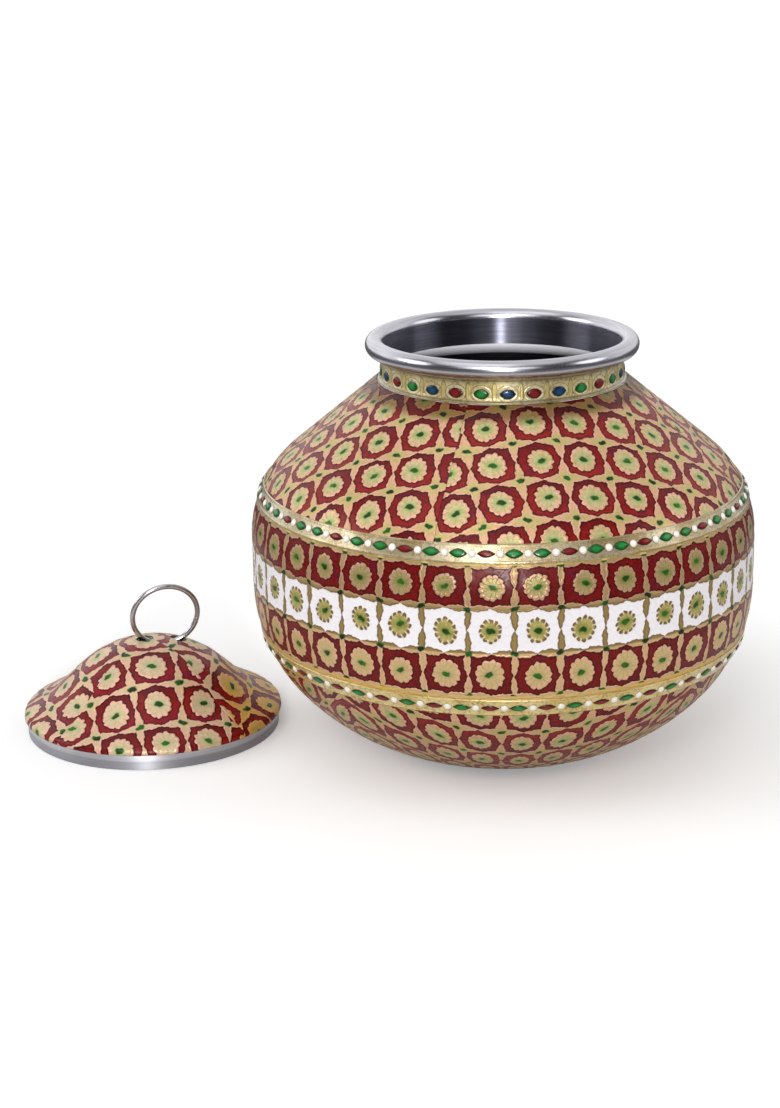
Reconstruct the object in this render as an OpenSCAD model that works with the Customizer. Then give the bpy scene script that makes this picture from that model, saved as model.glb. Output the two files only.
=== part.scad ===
// Water pot of pressed steel, covered with enamelled gilt foil, with a ring lid standing beside it.
// Millimetres, +Z up, origin at the middle of the pot's flat base.

/* [Pot] */
// Diameter of the steel pot at the belly
belly_d = 249; // [220:1:280]
// Height of the straight band round the belly
belly_band_h = 23.7; // [15:0.1:35]
// Thickness of the pressed steel sheet
sheet_t = 0.8; // [0.6:0.1:1.2]
// Radius of the flank curve under the belly
flank_r = 77; // [70:0.5:85]
// Radius of the flatter curve above the base
underside_r = 113; // [105:0.5:125]
// Turn of the outline where the flank curve ends, in degrees
flank_turn = 43.2; // [38:0.1:48]
// Turn of the outline where the base corner starts, in degrees
underside_turn = 76.2; // [74:0.1:80]
// Radius of the corner round the flat base
base_corner_r = 16; // [10:0.5:25]
// Radius of the curve over the belly
shoulder_r = 52.5; // [45:0.5:60]
// Slope of the shoulder cone, in degrees
shoulder_slope = 39.4; // [36:0.1:43]

/* [Neck and rim] */
// Inside diameter of the neck
mouth_d = 116.4; // [105:0.2:125]
// Radius of the turn-up between shoulder and neck
neck_turn_r = 5; // [3:0.5:8]
// Height of the neck ring up to the middle of its rolled rim
neck_h = 13.1; // [11:0.1:25]
// Outside radius of the rolled rim
rim_curl_r = 4.4; // [3.5:0.1:5]
// Part of the rolled rim left open on its underside, in degrees
rim_open = 50; // [40:1:80]

/* [Foil and tapes] */
// Thickness of the embossed foil
foil_t = 0.5; // [0.3:0.05:0.8]
// Thickness of the glue under a foil or a tape
glue_t = 0.1; // [0.05:0.05:0.2]
// Gap between neighbouring pieces of foil
seam_gap = 0.4; // [0.2:0.1:1]
// Direction of the first shoulder seam, in degrees from +X
shoulder_seam = -105; // [-180:1:180]
// Direction of the first base seam, in degrees from +X
base_seam = -130; // [-180:1:180]
// Turn of the outline where the base foils end, in degrees
base_foil_turn = 70; // [60:0.5:72]
// Gap between the neck band and the rolled rim
neck_band_gap = 1.1; // [0.5:0.1:3]
// Width of a trim tape
tape_w = 9; // [6:0.5:12]
// Thickness of a trim tape
tape_t = 0.4; // [0.3:0.05:0.8]
// Height of the upper tape's middle above the straight belly band
upper_tape_rise = 22.6; // [15:0.1:30]
// Depth of the lower tape's middle below the straight belly band
lower_tape_drop = 26.8; // [20:0.1:35]

/* [Lid] */
// How far the lid's hem sits outside the crest of the rim
lid_seat = 0.8; // [0.4:0.1:2]
// Height of the skirt
skirt_h = 8; // [4:0.5:10]
// Height of the folded hem inside the skirt
hem_h = 3; // [2:0.5:4]
// How far the brim stands out past the skirt
brim_step = 1; // [0.5:0.1:2]
// Height of the brim's straight edge
brim_edge_h = 0.2; // [0.1:0.1:3]
// Radius of the rounded brim
brim_r = 2.5; // [2:0.5:5]
// Slope of the flange inside the brim, in degrees
flange_slope = 28; // [25:0.5:34]
// Length of the flange's straight part
flange_l = 11; // [8:0.5:16]
// Radius of the flare between flange and dome
flare_r = 40; // [15:1:60]
// Slope of the dome's straight part, in degrees
dome_slope = 44; // [40:0.5:46]
// Radius of the round crown
crown_r = 55.5; // [45:0.5:60]
// Direction of the first lid seam, in degrees from +X
lid_seam = -128; // [-180:1:180]
// Radius left bare where the points of the lid foils meet
lid_foil_tip_r = 1; // [0.5:0.1:2]
// How far the standing lid reaches in under the belly
lid_tuck = 9; // [0:0.5:20]
// How far the standing lid is set back from the pot's middle line
lid_y = 10; // [-40:1:40]

/* [Ring handle] */
// Diameter of the ring at the middle of its wire
ring_d = 34; // [30:0.2:40]
// Diameter of the ring's wire
wire_d = 2.75; // [2:0.05:3]
// Distance between the two holes in the crown
ring_hole_span = 18; // [16:0.5:24]
// Room round the upright wire in each hole, which lets the ring swing
ring_hole_play = 1.8; // [1:0.1:2]
// Gap between the ends of the ring's wire
ring_split = 0.6; // [0.2:0.1:2]
// Lean of the ring and its holes on the crown towards the pot, in degrees
ring_lean_side = 5.5; // [0:0.5:8]
// Lean of the ring and its holes on the crown towards the front, in degrees
ring_lean_front = -4.5; // [-8:0.5:8]
// Turn of the line through both holes about the crown, in degrees
ring_turn = 21; // [-45:1:45]
// How far the ring has swung towards the front, in degrees
ring_swing = 15; // [-30:1:30]

/* [Hidden] */
$fn = 180;

steel = [0.74, 0.74, 0.76];
red_foil = [0.55, 0.10, 0.14];
white_foil = [0.90, 0.87, 0.82];
gold_foil = [0.84, 0.72, 0.42];

// Foils that go round the shoulder, the base or the lid
foils_round = 4;
// How far the chords of a curved outline may run inside its arc
chord_sag = 0.03;

// Offsets from the outer face of the steel: the steel itself, a foil, a tape over the foils
steel_skin = [-sheet_t, 0];
foil_skin = [glue_t, glue_t + foil_t];
tape_skin = [foil_skin[1] + glue_t, foil_skin[1] + glue_t + tape_t];

function dir(a) = [cos(a), sin(a)];
function arc_deg(length, r) = length / r * 180 / PI;

// Points of an arc of the outline, moved outward by off; r is negative where the outside is hollow
function arc(c, r, turn_1, turn_2, off) =
    let (steps = ceil(abs(turn_2 - turn_1) / (2 * acos(1 - chord_sag / abs(r)))))
    [for (i = [0 : steps]) c + (r + off) * dir(turn_1 + (turn_2 - turn_1) * i / steps)];

// One line from several stretches that start where the last one ends
function joined(stretches) =
    let (p = [for (s = stretches) each s])
    [for (i = [0 : len(p) - 1]) if (i == 0 || norm(p[i] - p[i - 1]) > 0.001) p[i]];

// Pot outline: centres of its arcs, all on the outer face of the steel
belly_r = belly_d / 2;
belly_low_z = base_corner_r - (underside_r - flank_r) * sin(flank_turn)
    + (underside_r - base_corner_r) * sin(underside_turn);
belly_high_z = belly_low_z + belly_band_h;
belly_joint_z = (belly_low_z + belly_high_z) / 2;
flank_c = [belly_r - flank_r, belly_low_z];
underside_c = flank_c - (underside_r - flank_r) * dir(-flank_turn);
base_corner_c = underside_c + (underside_r - base_corner_r) * dir(-underside_turn);
shoulder_c = [belly_r - shoulder_r, belly_high_z];
shoulder_turn = 90 - shoulder_slope;
cone_start = shoulder_c + shoulder_r * dir(shoulder_turn);
mouth_r = mouth_d / 2;
neck_r = mouth_r + sheet_t;
cone_l = (cone_start[0] + neck_turn_r * (cos(shoulder_turn) - 1) - neck_r) / cos(shoulder_slope);
neck_turn_c = cone_start + neck_turn_r * dir(shoulder_turn) + cone_l * dir(180 - shoulder_slope);
neck_z = neck_turn_c[1];
rim_c = [mouth_r + rim_curl_r, neck_z + neck_h];
neck_band_top = rim_c[1] - rim_curl_r * sin(rim_open) - neck_band_gap;

// Places of the two tapes on the outline, and half a tape as an angle
upper_tape_turn = asin(upper_tape_rise / shoulder_r);
lower_tape_turn = asin(lower_tape_drop / flank_r);
upper_tape_half = arc_deg(tape_w / 2, shoulder_r);
lower_tape_half = arc_deg(tape_w / 2, flank_r);

// Lid outline, from the brim up to the crown, on the outer face of the steel
skirt_r = rim_c[0] + lid_seat + 2 * sheet_t;
brim_edge_r = skirt_r + brim_step;
brim_c = [brim_edge_r - brim_r, skirt_h + sheet_t + brim_edge_h];
flange_turn = 90 - flange_slope;
dome_turn = 90 - dome_slope;
flare_start = brim_c + brim_r * dir(flange_turn) + flange_l * dir(180 - flange_slope);
flare_c = flare_start + flare_r * dir(flange_turn);
dome_start = flare_c - flare_r * dir(dome_turn);
dome_l = (dome_start[0] - crown_r * cos(dome_turn)) / cos(dome_slope);
crown_edge = dome_start + dome_l * dir(180 - dome_slope);
crown_c = crown_edge - crown_r * dir(dome_turn);
lid_x = -(belly_r + brim_edge_r - lid_tuck);

// Ring: it turns about the line through both holes, in the middle of the crown's wall
ring_r = ring_d / 2;
hole_half = ring_hole_span / 2;
crown_wall_mid = crown_r + (foil_skin[1] - sheet_t) / 2;
ring_pivot_z = crown_c[1] + sqrt(pow(crown_wall_mid, 2) - pow(hole_half, 2));
ring_rise = sqrt(pow(ring_r, 2) - pow(hole_half, 2));
ring_split_deg = arc_deg(ring_split, ring_r);
// The wire leans in its hole as the ring's circle does there, so the hole is wider than the wire
ring_hole_d = wire_d * ring_r / hole_half + 2 * ring_hole_play;

// Lines of the walls, each moved outward from the steel's outer face by off
bowl_line = function (off) joined([
    [[0, -off]],
    arc(base_corner_c, base_corner_r, -90, -underside_turn, off),
    arc(underside_c, underside_r, -underside_turn, -flank_turn, off),
    arc(flank_c, flank_r, -flank_turn, 0, off),
    [[belly_r + off, belly_joint_z]]]);
shoulder_line = function (off) joined([
    [[belly_r + off, belly_joint_z]],
    arc(shoulder_c, shoulder_r, 0, shoulder_turn, off),
    arc(neck_turn_c, -neck_turn_r, shoulder_turn, 0, off)]);
shoulder_foil_line = function (off) joined([
    arc(shoulder_c, shoulder_r, upper_tape_turn, shoulder_turn, off),
    [neck_turn_c + (off - neck_turn_r) * dir(shoulder_turn) + seam_gap * dir(-shoulder_slope)]]);
belly_strip_line = function (off) joined([
    arc(flank_c, flank_r, arc_deg(seam_gap, flank_r) - lower_tape_turn, 0, off),
    arc(shoulder_c, shoulder_r, 0, upper_tape_turn - arc_deg(seam_gap, shoulder_r), off)]);
base_foil_line = function (off) joined([
    arc(underside_c, underside_r, -base_foil_turn, -flank_turn, off),
    arc(flank_c, flank_r, -flank_turn, -lower_tape_turn, off)]);
neck_band_line = function (off) joined([
    arc(neck_turn_c, -neck_turn_r, shoulder_turn, 0, off),
    [[neck_r + off, neck_band_top]]]);
upper_tape_line = function (off)
    arc(shoulder_c, shoulder_r, upper_tape_turn - upper_tape_half, upper_tape_turn + upper_tape_half, off);
lower_tape_line = function (off)
    arc(flank_c, flank_r, -lower_tape_turn - lower_tape_half, lower_tape_half - lower_tape_turn, off);
dome_line = function (off, tip_deg) joined([
    arc(brim_c, brim_r, 0, flange_turn, off),
    arc(flare_c, -flare_r, flange_turn, dome_turn, off),
    arc(crown_c, crown_r, dome_turn, 90 - tip_deg, off)]);
lid_foil_line = function (off)
    concat([[brim_edge_r + off, skirt_h]], dome_line(off, arc_deg(lid_foil_tip_r, crown_r)));

function reversed(p) = [for (i = [len(p) - 1 : -1 : 0]) p[i]];

// Section of a wall between two offsets of its line
module wall(line, skin) polygon(concat(line(skin[1]), reversed(line(skin[0]))));

// Ring of a section, with a small seam at the back
module open_ring(r) {
    gap = arc_deg(seam_gap, r);
    rotate([0, 0, 90 + gap / 2]) rotate_extrude(angle = 360 - gap) children();
}

// One of the foils round an axis, with half a seam gap at both ends
module gore(i, first_seam, r) {
    gap = arc_deg(seam_gap, r);
    rotate([0, 0, first_seam + i * 360 / foils_round + gap / 2])
        rotate_extrude(angle = 360 / foils_round - gap) children();
}

module lower_bowl() color(steel) rotate_extrude() wall(bowl_line, steel_skin);

module shoulder_shell() color(steel) rotate_extrude() wall(shoulder_line, steel_skin);

module neck_ring() color(steel) rotate_extrude() {
    translate([mouth_r, neck_z]) square([sheet_t, neck_h]);
    translate(rim_c) difference() {
        circle(r = rim_curl_r);
        circle(r = rim_curl_r - sheet_t);
        polygon([[0, 0], 2 * rim_curl_r * dir(180), 2 * rim_curl_r * dir(180 + rim_open / 2),
            2 * rim_curl_r * dir(180 + rim_open)]);
    }
}

module shoulder_foil(i) color(red_foil) gore(i, shoulder_seam, belly_r) wall(shoulder_foil_line, foil_skin);

module belly_strip() color(white_foil) open_ring(belly_r) wall(belly_strip_line, foil_skin);

module neck_band() color(gold_foil) open_ring(neck_r) wall(neck_band_line, foil_skin);

module upper_tape() color(gold_foil) open_ring(belly_r) wall(upper_tape_line, tape_skin);

module lower_tape() color(gold_foil) open_ring(belly_r) wall(lower_tape_line, tape_skin);

module base_foil(i) color(red_foil) gore(i, base_seam, belly_r) wall(base_foil_line, foil_skin);

// Place of the ring: the crown is round, so what fits at its top fits where the ring leans too
module on_crown() translate([0, 0, crown_c[1]]) rotate([ring_lean_front, ring_lean_side, 0])
    rotate([0, 0, ring_turn]) children();

module ring_holes() on_crown() for (side = [-1, 1])
    translate([side * hole_half, 0, crown_r * sin(dome_turn)]) cylinder(d = ring_hole_d, h = crown_r);

// Dome, brim, shelf under the brim, skirt and folded hem in one section
module lid_section() {
    hem_r = skirt_r - 2 * sheet_t;
    inner_r = skirt_r - sheet_t;
    shelf_z = skirt_h + sheet_t;
    polygon(concat(
        [[hem_r, hem_h], [hem_r, 0], [skirt_r, 0], [skirt_r, skirt_h], [brim_edge_r, skirt_h]],
        dome_line(0, 0),
        reversed(dome_line(-sheet_t, 0)),
        [[brim_edge_r - sheet_t, shelf_z], [inner_r, shelf_z], [inner_r, hem_h]]));
}

module lid_shell() color(steel) translate([lid_x, lid_y, 0]) difference() {
    rotate_extrude() lid_section();
    ring_holes();
}

module lid_foil(i) color(red_foil) translate([lid_x, lid_y, 0]) difference() {
    gore(i, lid_seam, skirt_r) wall(lid_foil_line, foil_skin);
    ring_holes();
}

module ring_handle() color(steel) translate([lid_x, lid_y, 0]) on_crown()
    translate([0, 0, ring_pivot_z - crown_c[1]]) rotate([ring_swing + 90, 0, 0])
        translate([0, ring_rise, 0]) rotate([0, 0, 270 + ring_split_deg / 2])
            rotate_extrude(angle = 360 - ring_split_deg) translate([ring_r, 0]) circle(d = wire_d);

lower_bowl();
shoulder_shell();
neck_ring();
shoulder_foil(0);  // shoulder_foil_front_right
shoulder_foil(1);  // shoulder_foil_back_right
shoulder_foil(2);  // shoulder_foil_back_left
shoulder_foil(3);  // shoulder_foil_front_left
belly_strip();
neck_band();
upper_tape();
lower_tape();
base_foil(0);  // base_foil_front
base_foil(1);  // base_foil_right
base_foil(2);  // base_foil_back
base_foil(3);  // base_foil_left
lid_shell();
lid_foil(0);  // lid_foil_front
lid_foil(1);  // lid_foil_right
lid_foil(2);  // lid_foil_back
lid_foil(3);  // lid_foil_left
ring_handle();
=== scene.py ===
import math

import bmesh
import bpy
import numpy as np
from mathutils import Matrix, Vector


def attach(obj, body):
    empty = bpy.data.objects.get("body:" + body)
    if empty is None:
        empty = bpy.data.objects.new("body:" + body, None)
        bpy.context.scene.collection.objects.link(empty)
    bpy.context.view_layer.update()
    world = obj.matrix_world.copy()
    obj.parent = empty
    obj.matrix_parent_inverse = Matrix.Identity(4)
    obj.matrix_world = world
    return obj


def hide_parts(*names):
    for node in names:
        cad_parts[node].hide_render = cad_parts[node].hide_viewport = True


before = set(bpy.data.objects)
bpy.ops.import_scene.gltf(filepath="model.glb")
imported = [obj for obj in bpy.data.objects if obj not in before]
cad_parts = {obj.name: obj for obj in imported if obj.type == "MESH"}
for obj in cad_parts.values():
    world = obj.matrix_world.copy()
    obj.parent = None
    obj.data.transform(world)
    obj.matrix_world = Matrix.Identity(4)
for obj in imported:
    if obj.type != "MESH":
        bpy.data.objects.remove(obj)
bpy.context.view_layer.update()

# Sizes of the pot and the lid in millimetres, on the outer face of the steel, as the solids have them
BELLY_R, SHOULDER_R, FLANK_R, UNDERSIDE_R = 124.5, 52.5, 77.0, 113.0
FLANK_TURN, UNDERSIDE_TURN, SLOPE = 43.2, 76.2, 39.4
CONE_TURN = 90 - SLOPE
BASE_CORNER_R, BELLY_BAND = 16, 23.7
NECK_R, NECK_TURN_R, NECK_H, CURL_R, CURL_DROP_TURN = 59.0, 5.0, 13.1, 4.4, 50
# The tapes: rise of the upper one above the straight band of the belly, fall of the lower one below it, half width
UPPER_RISE, LOWER_FALL, TAPE_HALF = 22.6, 26.8, 4.5
# The lid: its axis, straight stretch of its brim, and the lower edge of its foils
LID_X, LID_Y, BRIM_L, LID_FOIL_EDGE = -181.5, 10.0, 11, (66.0, 8.0)
LID_AXIS = (LID_X / 1000, LID_Y / 1000)
# Thickness of the steel, tops of a foil and of a tape above it, and the glue under a foil
SHEET, FOIL, TAPE, GLUE = 0.8, 0.6, 1.1, 0.1
# Gap of a seam, distance that a foil stays back from a joint under a tape or the band, and where the base foils end
SEAM, JOINT, BASE_FOIL_END = 0.06, 0.4, -70
# Directions of the first seams, in degrees from the front towards +X; the others follow a quarter turn apart
SHOULDER_SEAM, BASE_SEAM, LID_SEAM, QUARTER = -15, -40, -38, 90
# About how far apart the points of a sheet's outer face lie
FOIL_STEP, STRIP_STEP, TAPE_STEP, BAND_STEP = 0.6, 0.8, 0.45, 0.35
# A sheet's pattern, in cells: width and swell of its leaves, radius of its rosettes
POT_FORM, LID_FORM, BELLY_FORM = (0.22, 0.45, 0.315), (0.18, 0.44, 0.326), (0.06, 0.85, 0.297)
# Cells: degrees and millimetres on the base, millimetres up the belly and number round it, both ways on the lid
BASE_CELL_DEG, BASE_CELL, BELLY_CELL, BELLY_COUNT, LID_CELL = 10.4, 21, 21.6, 37, (22.2, 23.3)
# Neck band: length of a cell, its angle, the angle of its first gem, and how far gems lie below its middle
NECK_CELL, NECK_CELL_DEG, NECK_FIRST, GEM_DROP = 12.5, 12, 2.7, 1.15
# Ring holes in the lid's crown: distance from their middle, radius, and the turns that lean them with the ring
HOLE_OUT, HOLE_R, HOLE_TURNS = 9, 4.4, ((5.5, "Y"), (-4.5, "X"), (21, "Z"))
# Enamel: half length and height of a tape's gems, radius and height of its beads, and how deep drops are set in
GEM_L, GEM_H, BEAD_R, BEAD_H, TAPE_SINK, BAND_SINK = 4.3, 0.75, 1.85, 1.0, 0.16, 0.18
# In metres, heights between which the foil takes painted shade under the neck, above which the shoulder's bare
# ledge has a painted highlight, and below which the lid's hem has a painted dark reflection
UNDER_NECK_PAINTED_SHADE, LEDGE_PAINTED_HIGHLIGHT, HEM_PAINTED_REFLECTION = (0.178, 0.1825), 0.185, 0.0045


def turn(a):
    return np.array([math.cos(math.radians(a)), math.sin(math.radians(a))])


BELLY_LOW = BASE_CORNER_R - (UNDERSIDE_R - FLANK_R) * turn(FLANK_TURN)[1]
BELLY_LOW = BELLY_LOW + (UNDERSIDE_R - BASE_CORNER_R) * turn(UNDERSIDE_TURN)[1]
BELLY_HIGH = BELLY_LOW + BELLY_BAND
FLANK_C = np.array([BELLY_R - FLANK_R, BELLY_LOW])
UNDERSIDE_C = FLANK_C - (UNDERSIDE_R - FLANK_R) * turn(-FLANK_TURN)
SHOULDER_C = np.array([BELLY_R - SHOULDER_R, BELLY_HIGH])
CONE_START = SHOULDER_C + SHOULDER_R * turn(CONE_TURN)
CONE_L = (CONE_START[0] + NECK_TURN_R * (turn(CONE_TURN)[0] - 1) - NECK_R) / turn(SLOPE)[0]
NECK_TURN_C = CONE_START + NECK_TURN_R * turn(CONE_TURN) + CONE_L * turn(180 - SLOPE)
NECK_BAND_TOP = NECK_TURN_C[1] + NECK_H - CURL_R * turn(CURL_DROP_TURN)[1] - 1.1
UPPER_TURN = math.degrees(math.asin(UPPER_RISE / SHOULDER_R))
LOWER_TURN = math.degrees(math.asin(LOWER_FALL / FLANK_R))
UPPER_HALF, LOWER_HALF = math.degrees(TAPE_HALF / SHOULDER_R), math.degrees(TAPE_HALF / FLANK_R)
BRIM_C, BRIM_R, FLARE_R, CROWN_R = np.array([63.5, 9.0]), 2.5, 40.0, 55.5
BRIM_TURN, DOME_TURN = 62.0, 46.0
FLARE_START = BRIM_C + BRIM_R * turn(BRIM_TURN) + BRIM_L * turn(BRIM_TURN + 90)
FLARE_C = FLARE_START + FLARE_R * turn(BRIM_TURN)
DOME_START = FLARE_C - FLARE_R * turn(DOME_TURN)
DOME_L = (DOME_START[0] - CROWN_R * turn(DOME_TURN)[0]) / turn(90 - DOME_TURN)[0]
CROWN_C = DOME_START + DOME_L * turn(DOME_TURN + 90) - CROWN_R * turn(DOME_TURN)

# Each line is a row of arcs: centre, radius (negative where hollow), turn at its start and end
SHOULDER_LINE = [
    (SHOULDER_C, SHOULDER_R, UPPER_TURN, CONE_TURN),
    (NECK_TURN_C - NECK_TURN_R * turn(CONE_TURN) + JOINT * turn(-SLOPE), 0, CONE_TURN, CONE_TURN),
]
BELLY_LINE = [
    (FLANK_C, FLANK_R, math.degrees(JOINT / FLANK_R) - LOWER_TURN, 0),
    (SHOULDER_C, SHOULDER_R, 0, UPPER_TURN - math.degrees(JOINT / SHOULDER_R)),
]
BASE_LINE = [
    (UNDERSIDE_C, UNDERSIDE_R, BASE_FOIL_END, -FLANK_TURN),
    (FLANK_C, FLANK_R, -FLANK_TURN, -LOWER_TURN),
]
NECK_LINE = [(NECK_TURN_C, -NECK_TURN_R, CONE_TURN, 0), (np.array([NECK_R, NECK_BAND_TOP]), 0, 0, 0)]
UPPER_LINE = [(SHOULDER_C, SHOULDER_R, UPPER_TURN - UPPER_HALF, UPPER_TURN + UPPER_HALF)]
LOWER_LINE = [(FLANK_C, FLANK_R, -LOWER_TURN - LOWER_HALF, LOWER_HALF - LOWER_TURN)]
LID_LINE = [
    (np.array(LID_FOIL_EDGE), 0, 0, 0),
    (BRIM_C, BRIM_R, 0, BRIM_TURN),
    (FLARE_C, -FLARE_R, BRIM_TURN, DOME_TURN),
    (CROWN_C, CROWN_R, DOME_TURN, 90 - math.degrees(1 / CROWN_R)),
]


def outline(line, step):
    """Points, outward normals and run along a line, about step apart; gaps between arcs are straight."""
    points, normals = [], []
    for centre, r, t1, t2 in line:
        n = math.ceil(abs(math.radians(t2 - t1) * r) / step)
        t = np.radians(np.linspace(t1, t2, n + 1))
        normal = np.stack([np.cos(t), np.sin(t)], 1)
        point = centre + r * normal
        if points:
            last = points[-1][-1]
            gap = point[0] - last
            m = int(np.hypot(*gap) // step)
            points.append(last + gap * (np.arange(1, m + 1) / (m + 1))[:, None])
            normals.append(np.repeat(normal[:1], m, 0))
            skip = 1 if np.hypot(*gap) < 1e-3 else 0
            point, normal = point[skip:], normal[skip:]
        points.append(point)
        normals.append(normal)
    p, n = np.concatenate(points), np.concatenate(normals)
    run = np.concatenate([[0], np.cumsum(np.hypot(*np.diff(p, axis=0).T))])
    return p, n, run


def add_mesh(name, verts, faces, smooth=None, uv=None):
    """A mesh from millimetres; its map is named flat."""
    mesh = bpy.data.meshes.new(name)
    mesh.from_pydata((np.asarray(verts) * 0.001).tolist(), [], faces)
    flags = np.ones(len(faces), bool) if smooth is None else smooth
    mesh.polygons.foreach_set("use_smooth", flags)
    if uv is not None:
        loops = np.zeros(len(mesh.loops), np.int32)
        mesh.loops.foreach_get("vertex_index", loops)
        layer = mesh.uv_layers.new(name="flat")
        layer.data.foreach_set("uv", np.asarray(uv, np.float32)[loops].ravel())
    mesh.update()
    obj = bpy.data.objects.new(name, mesh)
    bpy.context.scene.collection.objects.link(obj)
    return obj


def sheet_mesh(name, line, step, span, flat, skin, depth, centre=(0, 0)):
    """A closed thin sheet round an axis: a fine outer face with its relief, a plain inner face and an edge.

    Flat gives the map from the run along the line, the line's length and the angle. Skin is the height of the
    sheet's top above the steel, and depth is the relief below that, both in millimetres.
    """
    p, n, run = outline(line, step)
    cols = math.ceil(math.radians(span[1] - span[0]) * p[:, 0].max() / step) + 1
    phi = np.linspace(span[0], span[1], cols)[None, :]
    u, v = np.broadcast_arrays(*flat(run[:, None], run[-1], phi))
    a = np.radians(phi)

    def place(off):
        r, z = p[:, :1] + n[:, :1] * off, p[:, 1:] + n[:, 1:] * off + 0 * phi
        return np.stack([centre[0] + r * np.sin(a), centre[1] - r * np.cos(a), z], -1)

    outer, inner = place(skin - depth(u, v)), place(GLUE + (0 if skin == FOIL else FOIL) + 0 * phi)
    rows = len(p)
    ri, ci = (np.unique(np.linspace(0, k - 1, max(2, k // 6)).round().astype(int)) for k in (rows, cols))
    pick = np.ix_(ri, ci)
    o = np.arange(rows * cols).reshape(rows, cols)
    i = rows * cols + np.arange(len(ri) * len(ci)).reshape(len(ri), len(ci))
    faces = np.stack([o[:-1, :-1], o[:-1, 1:], o[1:, 1:], o[1:, :-1]], -1).reshape(-1, 4).tolist()
    faces += np.stack([i[:-1, :-1], i[1:, :-1], i[1:, 1:], i[:-1, 1:]], -1).reshape(-1, 4).tolist()
    smooth = len(faces)
    for k, (c1, c2) in enumerate(zip(ci[:-1], ci[1:])):
        faces.append([i[0, k], i[0, k + 1], *o[0, c1 : c2 + 1][::-1]])
        faces.append([*o[-1, c1 : c2 + 1], i[-1, k + 1], i[-1, k]])
    for k, (r1, r2) in enumerate(zip(ri[:-1], ri[1:])):
        faces.append([*o[r1 : r2 + 1, 0], i[k + 1, 0], i[k, 0]])
        faces.append([i[k, -1], i[k + 1, -1], *o[r1 : r2 + 1, -1][::-1]])
    faces = [[int(x) for x in f] for f in faces]
    verts = np.concatenate([outer.reshape(-1, 3), inner[pick].reshape(-1, 3)])
    uv = np.stack([u, v], -1)
    uv = np.concatenate([uv.reshape(-1, 2), uv[pick].reshape(-1, 2)])
    return add_mesh(name, verts, faces, np.arange(len(faces)) < smooth, uv)


# One formula serves the relief, on arrays, and the colours, on nodes
ARRAYS = {
    "ADD": np.add, "SUBTRACT": np.subtract, "MULTIPLY": np.multiply, "DIVIDE": np.divide,
    "SINE": np.sin, "COSINE": np.cos, "ABSOLUTE": np.abs, "FLOOR": np.floor, "SQRT": np.sqrt,
    "MINIMUM": np.minimum, "MAXIMUM": np.maximum, "ARCTAN2": np.arctan2,
}


class Field:
    """A number that varies over a surface: arithmetic on it adds Math nodes to its tree."""

    def __init__(self, tree, socket):
        self.tree, self.socket = tree, socket

    def __add__(self, b):
        return calc("ADD", self, b)

    def __sub__(self, b):
        return calc("SUBTRACT", self, b)

    def __mul__(self, b):
        return calc("MULTIPLY", self, b)

    def __radd__(self, b):
        return calc("ADD", b, self)

    def __rsub__(self, b):
        return calc("SUBTRACT", b, self)

    def __rmul__(self, b):
        return calc("MULTIPLY", b, self)


def put(socket, value):
    if isinstance(value, Field):
        value.tree.links.new(value.socket, socket)
    else:
        socket.default_value = value


def calc(op, *values):
    tree = next((v.tree for v in values if isinstance(v, Field)), None)
    if tree is None:
        return ARRAYS[op](*values)
    node = tree.nodes.new("ShaderNodeMath")
    node.operation = op
    for socket, value in zip(node.inputs, values):
        put(socket, value)
    return Field(tree, node.outputs[0])


def ramp(x, low, high):
    """0 at low, 1 at high, smooth between."""
    if not isinstance(x, Field):
        t = np.clip((x - low) / (high - low), 0, 1)
        return t * t * (3 - 2 * t)
    node = x.tree.nodes.new("ShaderNodeMapRange")
    node.interpolation_type = "SMOOTHSTEP"
    for k, value in enumerate((x, low, high, 0.0, 1.0)):
        put(node.inputs[k], value)
    return Field(x.tree, node.outputs[0])


def sine(x):
    return calc("SINE", x)


def size_of(x, y):
    return calc("SQRT", x * x + y * y)


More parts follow.
